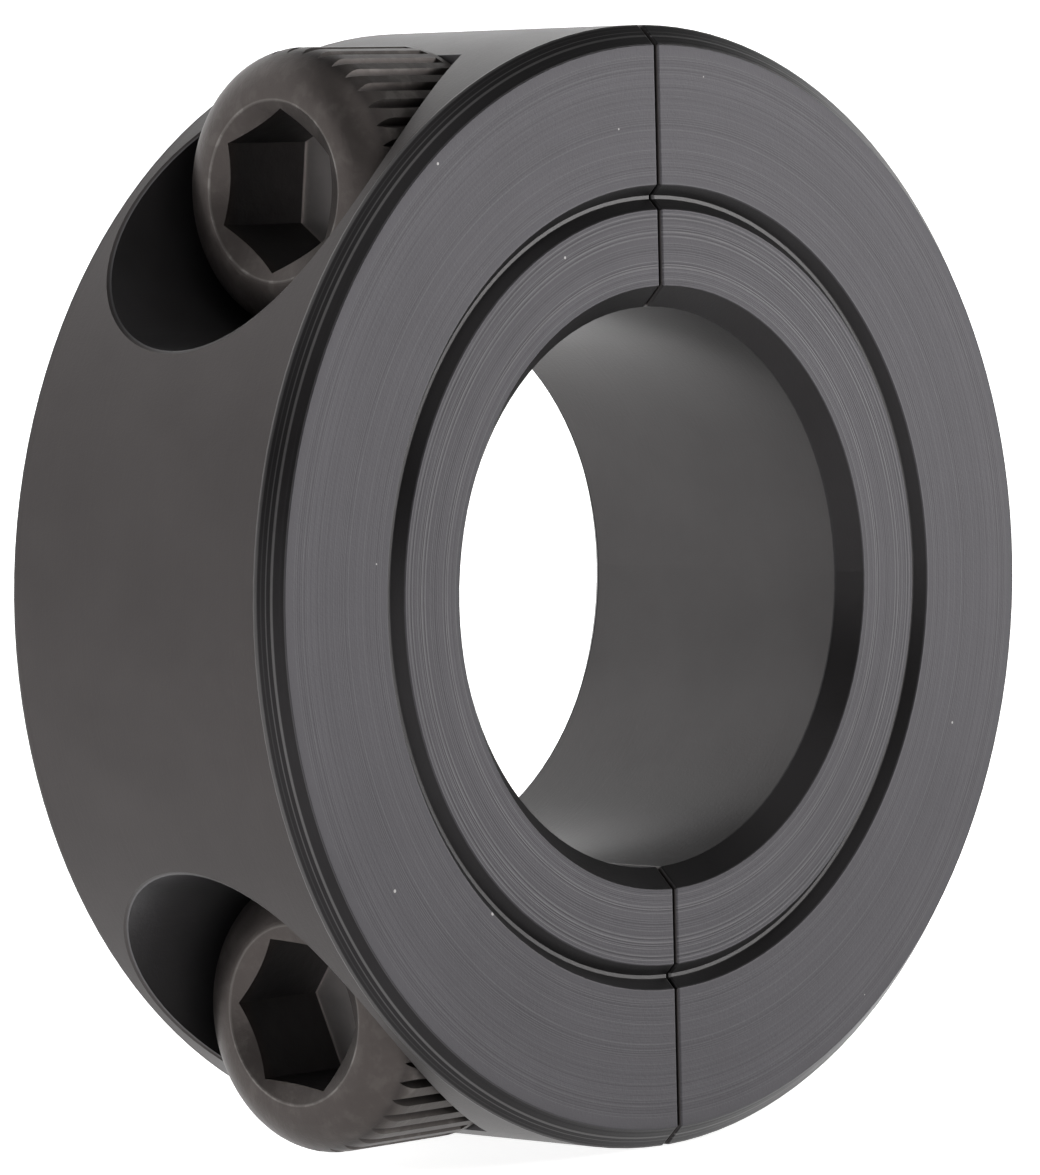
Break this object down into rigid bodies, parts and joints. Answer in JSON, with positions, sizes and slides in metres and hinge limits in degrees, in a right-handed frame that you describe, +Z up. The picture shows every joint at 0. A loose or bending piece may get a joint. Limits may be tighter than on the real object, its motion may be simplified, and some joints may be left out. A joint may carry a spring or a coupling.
{
  "type": "two-piece clamping shaft collar",
  "caption": "Steel shaft collar split into two halves, clamped round a shaft by socket head cap screws across the split.",
  "frame": {"origin": "on the bore's axis, midway between the two end faces", "axes": "+Y along the bore, from the grooved face to the plain face; X along the clamp screws, with their heads towards -X and the tapped half towards +X; +Z up, from the lower screw to the upper one"},
  "size_m": [0.0381, 0.0126, 0.038],
  "materials": {
    "collar_steel": "black oxide over fine turned steel, satin",
    "screw_steel": "black oxide, semi-gloss",
    "nylon": "dull blue nylon"
  },
  "bodies": {
    "tapped_side": {"tapped_half": "collar_steel"},
    "clamp_side": {"counterbored_half": "collar_steel"},
    "upper_screw": {"upper_clamp_screw": "screw_steel", "upper_locking_strip": "nylon"},
    "lower_screw": {"lower_clamp_screw": "screw_steel", "lower_locking_strip": "nylon"}
  },
  "joints": [
    {"name": "halves_part", "type": "slide", "parent": "tapped_side", "child": "clamp_side", "axis": [-1, 0, 0], "range_m": [-0.0001, 0.01089]},
    {"name": "upper_screw_turn", "type": "hinge", "parent": "clamp_side", "child": "upper_screw", "pos_m": [-0.00575, 0, 0.01375], "axis": [-1, 0, 0], "range_deg": [-39.7, 4320]},
    {"name": "lower_screw_turn", "type": "hinge", "parent": "clamp_side", "child": "lower_screw", "pos_m": [-0.00575, 0, -0.01375], "axis": [-1, 0, 0], "range_deg": [-39.7, 4320]}
  ],
  "couplings": [
    {"joint": "upper_screw_turn", "follows": "halves_part", "rad_per_m": 6926.3},
    {"joint": "lower_screw_turn", "follows": "halves_part", "rad_per_m": 6926.3}
  ]
}
